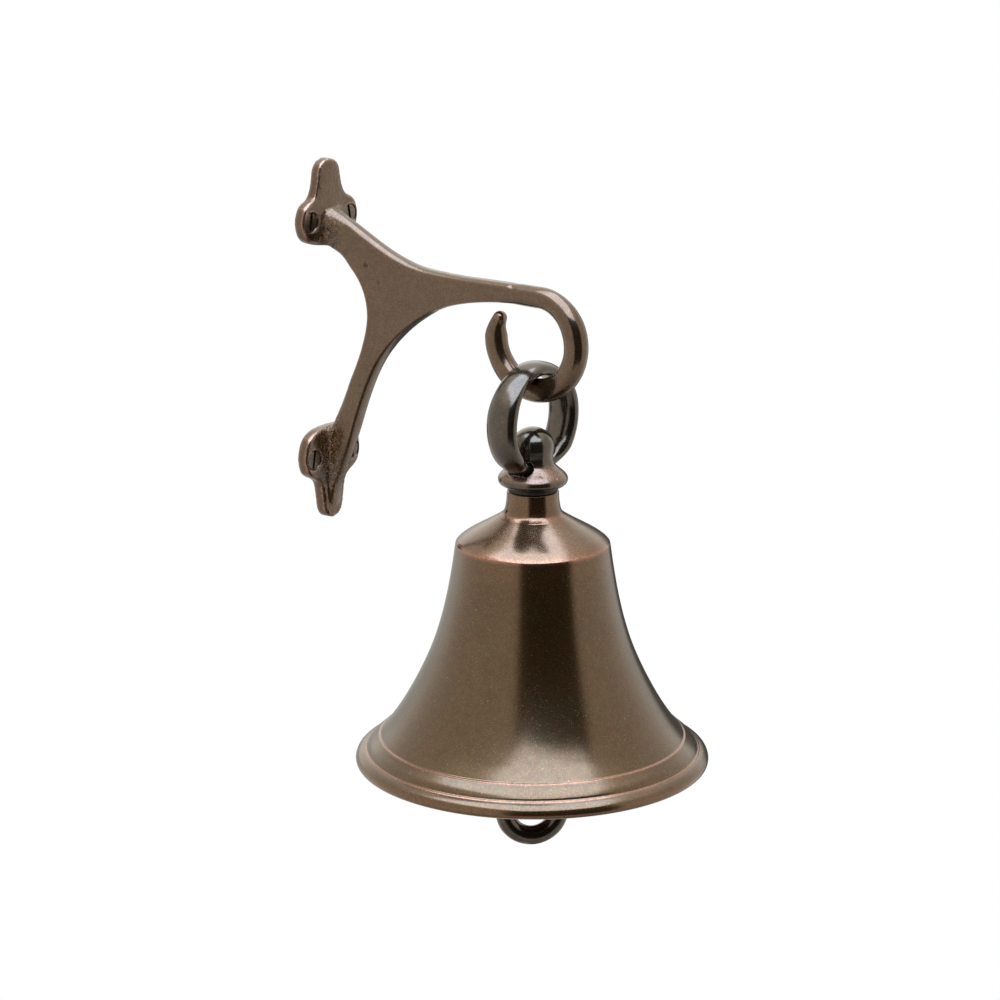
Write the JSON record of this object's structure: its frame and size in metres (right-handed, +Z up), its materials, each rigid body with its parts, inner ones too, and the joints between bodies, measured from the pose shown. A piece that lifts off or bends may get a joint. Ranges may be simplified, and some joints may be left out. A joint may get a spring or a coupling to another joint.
{
  "type": "wall mounted bell",
  "caption": "Bronze wall bell with clapper and lanyard ring, hung by a link from the hook of a bracket with an upper and a lower wall plate.",
  "frame": {"origin": "centre of the four wall screws, on the plane of the wall", "axes": "+Z up, +Y into the wall, the bell hangs on the -Y side, X across the bracket"},
  "size_m": [0.1524, 0.2185, 0.2901],
  "materials": {
    "bracket_bronze": "dark brown patina on cast bronze, worn to copper along the edges",
    "bell_bronze": "dark brown patina on smooth cast bronze, golden specks, ridges worn to copper",
    "link_bronze": "grey-brown bronze, polished by handling",
    "screw_bronze": "dark tarnished, dirt in the slots",
    "inner_brass": "dull tarnished brass",
    "gasket_leather": "black, oiled"
  },
  "bodies": {
    "wall_bracket": {"bracket": "bracket_bronze", "wall_screws": "screw_bronze"},
    "hanging_link": {"link": "link_bronze"},
    "bell": {"crown_eye": "link_bronze", "crown_gasket": "gasket_leather", "bell": "bell_bronze", "crown_washer": "inner_brass", "crown_nut": "inner_brass", "staple": "inner_brass"},
    "clapper": {"clapper_rod": "inner_brass", "clapper_ball": "inner_brass", "tail_ring": "link_bronze"}
  },
  "joints": [
    {"name": "link_swing", "type": "hinge", "parent": "wall_bracket", "child": "hanging_link", "pos_m": [0, -0.1149, -0.007], "axis": [0, 1, 0], "range_deg": [-30, 30]},
    {"name": "bell_swing", "type": "hinge", "parent": "hanging_link", "child": "bell", "pos_m": [0, -0.1149, -0.04155], "axis": [1, 0, 0], "range_deg": [-18, 18]},
    {"name": "clapper_swing", "type": "hinge", "parent": "bell", "child": "clapper", "pos_m": [0, -0.1149, -0.104], "axis": [1, 0, 0], "range_deg": [-35, 35]}
  ]
}
